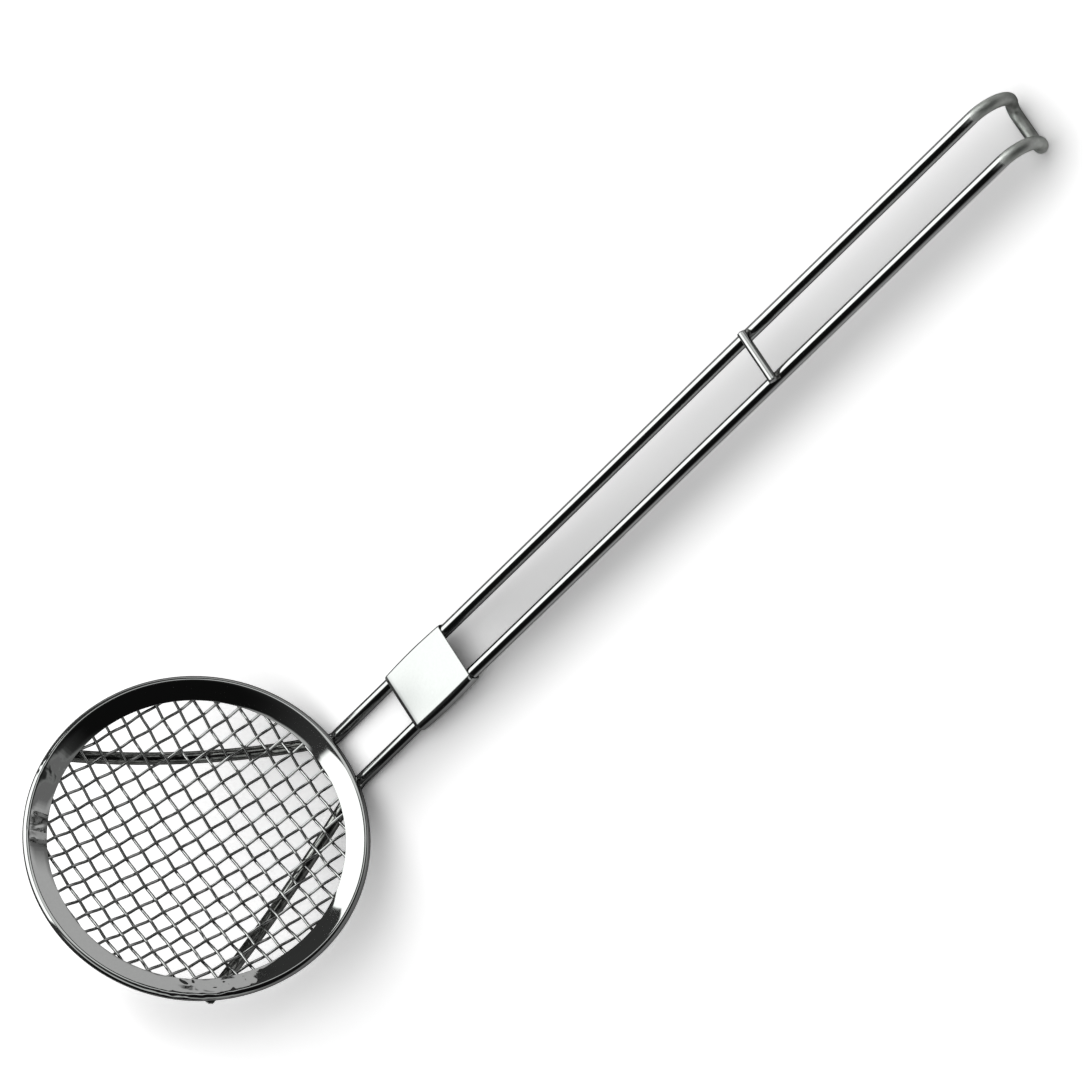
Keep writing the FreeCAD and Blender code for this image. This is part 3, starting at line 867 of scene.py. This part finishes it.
def makeDome():
    # what the steel mirrors: a white panel on the far side, smaller cards, and dark elsewhere
    card, nodes, links = plainMaterial("domeCards")
    card.cycles.emission_sampling = "NONE"
    where = nodes.new("ShaderNodeTexCoord")
    split = nodes.new("ShaderNodeSeparateXYZ")
    links.new(where.outputs["Object"], split.inputs["Vector"])
    radius = dome["radius"]

    def feed(socket, value):
        if isinstance(value, (int, float)):
            socket.default_value = value
        else:
            links.new(value, socket)

    def ease(source, span, low=0.0, high=1.0):
        step = nodes.new("ShaderNodeMapRange")
        step.interpolation_type = "SMOOTHSTEP"
        values = (span[0] * radius, span[1] * radius, low, high)
        for name, value in zip(("From Min", "From Max", "To Min", "To Max"), values):
            feed(step.inputs[name], value)
        links.new(source, step.inputs["Value"])
        return step.outputs["Result"]

    def join(operation, first, *others):
        for other in others:
            node = nodes.new("ShaderNodeMath")
            node.operation = operation
            feed(node.inputs[0], first)
            feed(node.inputs[1], other)
            first = node.outputs["Value"]
        return first

    x, y, z = split.outputs["X"], split.outputs["Y"], split.outputs["Z"]
    panel, side, front, crown = dome["panel"], dome["side"], dome["front"], dome["crown"]
    lowEdge = ease(x, panel["edgeX"], *[share * radius for share in panel["edgeZ"]])
    above = ease(join("SUBTRACT", z, lowEdge), panel["above"])
    slanted = join("SUBTRACT", y, join("MULTIPLY", x, panel["slant"]))
    panelCard = join("MULTIPLY", above, ease(y, panel["y"]), ease(x, panel["x"]),
                     ease(slanted, panel["beside"]), panel["glow"])
    sideCard = join("MULTIPLY", ease(x, side["x"]), ease(z, side["z"]), ease(y, side["y"]),
                    ease(y, side["yEnd"]), side["glow"])
    frontCard = join("MULTIPLY", ease(x, front["x"]), ease(x, front["xEnd"]), ease(y, front["y"]),
                     front["glow"])
    crownCard = join("MULTIPLY", ease(x, crown["x"]), ease(x, crown["xEnd"]), ease(y, crown["y"]),
                     ease(z, crown["z"]), crown["glow"])
    low, high = dome["low"], dome["high"]
    dark = nodes.new("ShaderNodeMix")
    links.new(ease(z, high["z"]), dark.inputs["Factor"])
    links.new(ease(z, low["z"], ease(y, low["y"], *low["tones"]), low["top"]), dark.inputs["A"])
    links.new(ease(y, high["y"], *high["tones"]), dark.inputs["B"])
    total = join("MAXIMUM", dark.outputs["Result"], panelCard, sideCard, frontCard, crownCard)
    glow = nodes.new("ShaderNodeEmission")
    glow.inputs["Color"].default_value = dome["colour"]
    links.new(total, glow.inputs["Strength"])
    links.new(glow.outputs["Emission"], nodes["Material Output"].inputs["Surface"])
    bpy.ops.mesh.primitive_uv_sphere_add(segments=64, ring_count=32, radius=radius, location=(0, 0, 0))
    ball = bpy.context.active_object
    ball.name = "cardDome"
    ball.data.materials.append(card)
    hide(ball, False)


def behind(place):
    # the spot on the table in line with the camera and a place on the skimmer
    place, eye = basket @ Vector(place), basket @ Vector(camera["place"])
    spot = eye + (place - eye) * eye.z / (eye.z - place.z)
    return np.array([spot.x, spot.y])


def makeFlag(name, edges, material):
    verts = [(x, y, flags["high"]) for pair in edges for x, y in pair]
    faces = [(2 * k, 2 * k + 2, 2 * k + 3, 2 * k + 1) for k in range(len(edges) - 1)]
    card = stagePiece(name, verts, faces, material)
    hide(card, True)
    card.visible_glossy = False


def makeFlags():
    # level cards that the camera does not see; they only deepen the soft shadow on the table
    black, nodes, links = plainMaterial("flagCard")
    matt = nodes.new("ShaderNodeBsdfDiffuse")
    links.new(matt.outputs["BSDF"], nodes["Material Output"].inputs["Surface"])
    gap, end = flags["gapStart"], handle["length"] + flags["endReach"]
    for name, start, stop, far in (("shadeBeforePlate", flags["legStart"], gap, flags["plateFar"]),
                                   ("shadeAlongLegs", gap, end, flags["legFar"])):
        walks = np.linspace(start, stop, flags["legSpots"])
        spots = [behind(legFrame(walk, -handle["spacing"] / 2, 0)) for walk in walks]
        makeFlag(name, [(spot + (0, flags["legNear"]), spot + (0, far)) for spot in spots], black)
    azimuths = np.radians(np.arange(*flags["azimuths"]))
    reach = rim["diameter"] / 2
    path = np.array([behind((reach * math.cos(a), reach * math.sin(a), 0)) for a in azimuths])
    runs = np.gradient(path, axis=0)
    outward = np.stack([runs[:, 1], -runs[:, 0]], 1) / np.linalg.norm(runs, axis=1)[:, None]
    outward *= np.sign(np.sum(outward * (path - behind((0, 0, 0))), axis=1))[:, None]
    share = np.interp(-np.degrees(azimuths), *flags["rimShares"])[:, None]
    inner = path + outward * flags["rimNear"] * np.minimum(share, 1) ** 2
    makeFlag("shadeRoundRim", list(zip(inner, path + outward * flags["rimFar"] * share)), black)


makeFloor()
makeSun()
makeWorld()
makeDome()
makeFlags()
print("studio set")


bpy.context.scene.view_settings.view_transform = "Standard"
